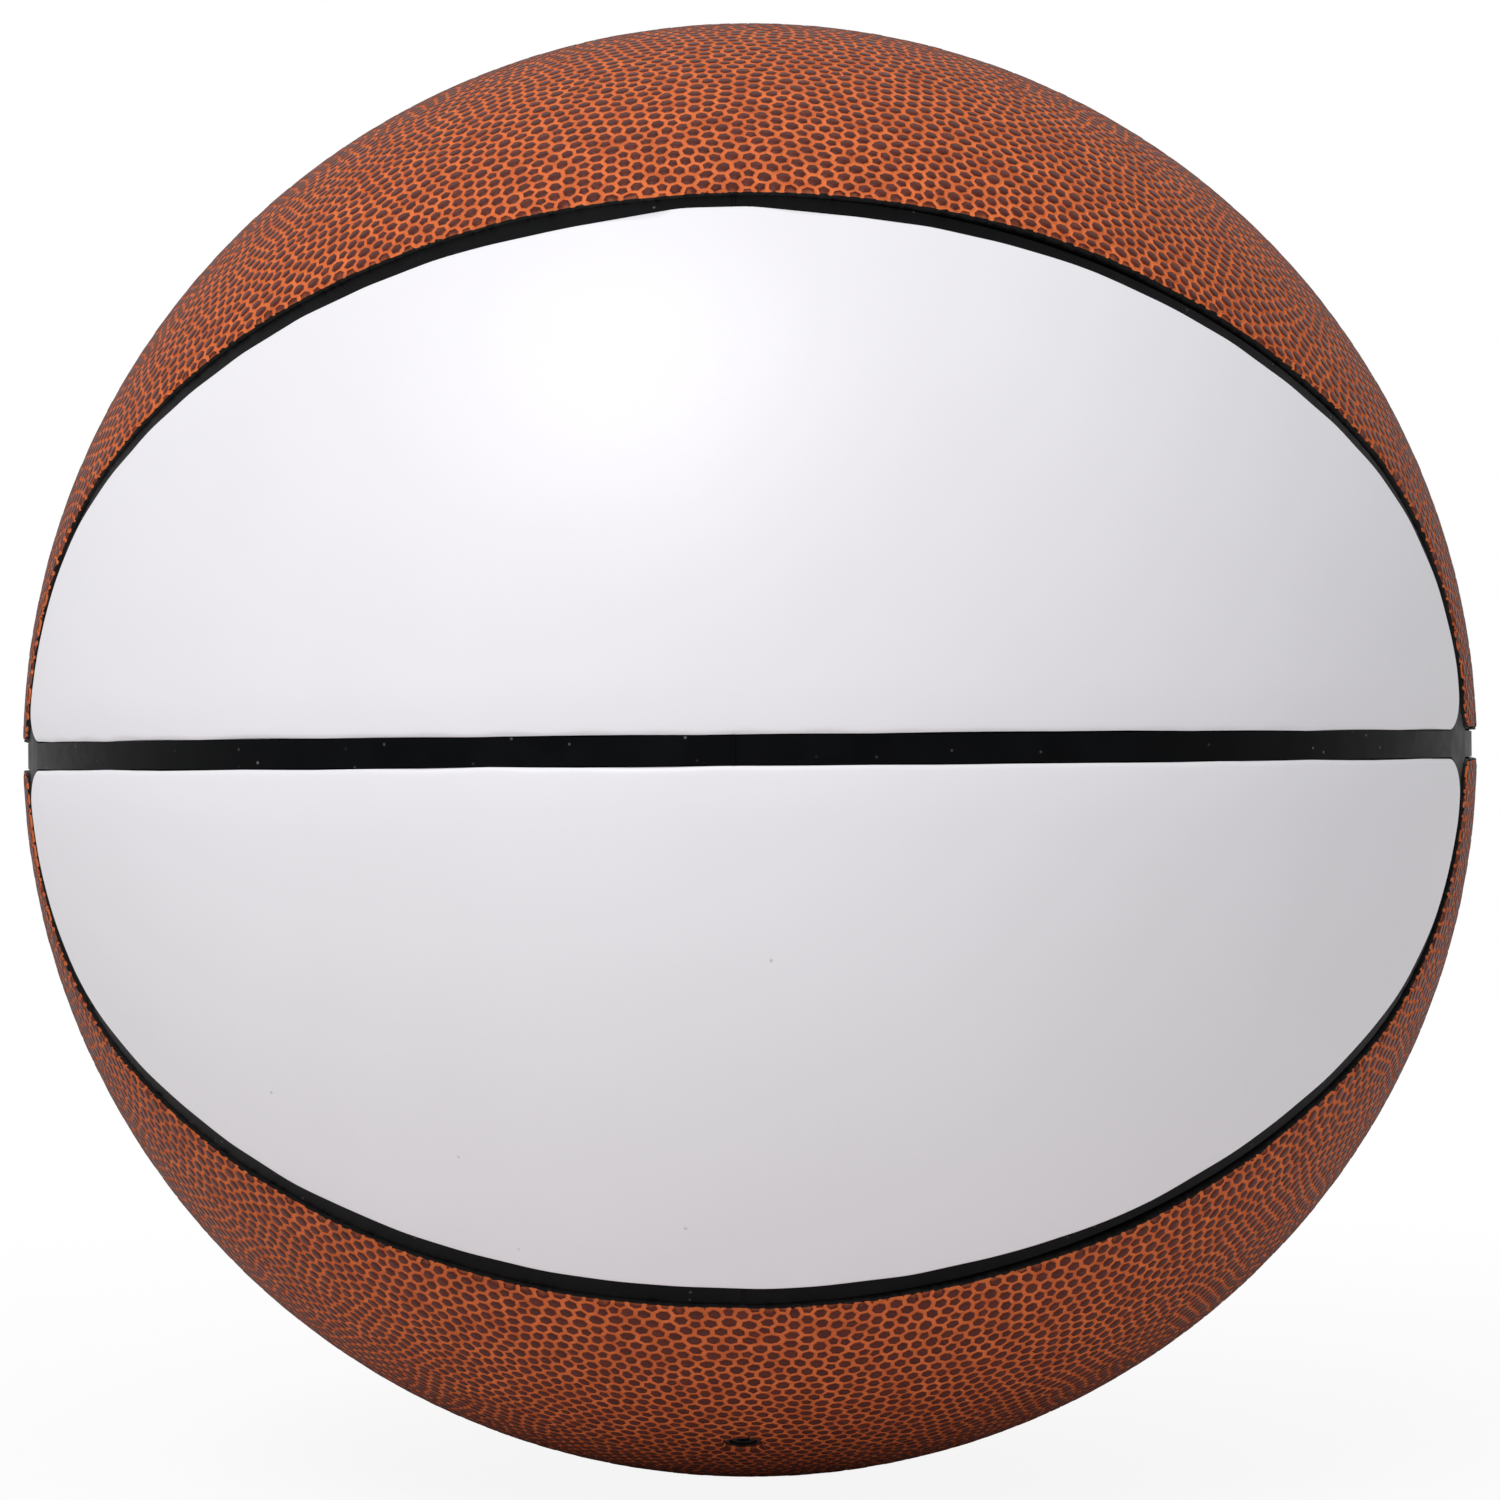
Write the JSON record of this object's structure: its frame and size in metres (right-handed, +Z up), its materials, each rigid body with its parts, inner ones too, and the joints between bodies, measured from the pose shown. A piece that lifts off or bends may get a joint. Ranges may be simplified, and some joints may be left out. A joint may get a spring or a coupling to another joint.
{
  "type": "basketball",
  "caption": "Panelled basketball with smooth white and pebbled brown cover panels, recessed black channels and a needle valve with a pull-out plug.",
  "frame": {"origin": "centre of the ball", "axes": "+Z up as pictured, -Y towards the oval of white panels, +X to that side's right"},
  "size_m": [0.2398, 0.24, 0.24],
  "materials": {
    "smooth_cover": "smooth white synthetic leather, satin",
    "pebbled_cover": "pebbled brown synthetic leather with orange valleys",
    "channel_rubber": "smooth black rubber, slightly glossy",
    "winding_thread": "wound nylon thread",
    "bladder_rubber": "matt black butyl rubber",
    "valve_rubber": "moulded black rubber",
    "plug_rubber": "moulded soft rubber"
  },
  "bodies": {
    "ball": {"front_upper_panel": "smooth_cover", "front_lower_panel": "smooth_cover", "rear_upper_panel": "pebbled_cover", "rear_lower_panel": "pebbled_cover", "upper_front_strip": "pebbled_cover", "lower_front_strip": "pebbled_cover", "upper_rear_strip": "pebbled_cover", "lower_rear_strip": "pebbled_cover", "carcass": "channel_rubber", "thread_winding": "winding_thread", "bladder": "bladder_rubber", "valve_body": "valve_rubber"},
    "plug": {"valve_plug": "plug_rubber"}
  },
  "joints": [
    {"name": "plug_pull", "type": "slide", "parent": "ball", "child": "plug", "axis": [0, -0.4352, -0.9003], "range_m": [0, 0.013]}
  ]
}
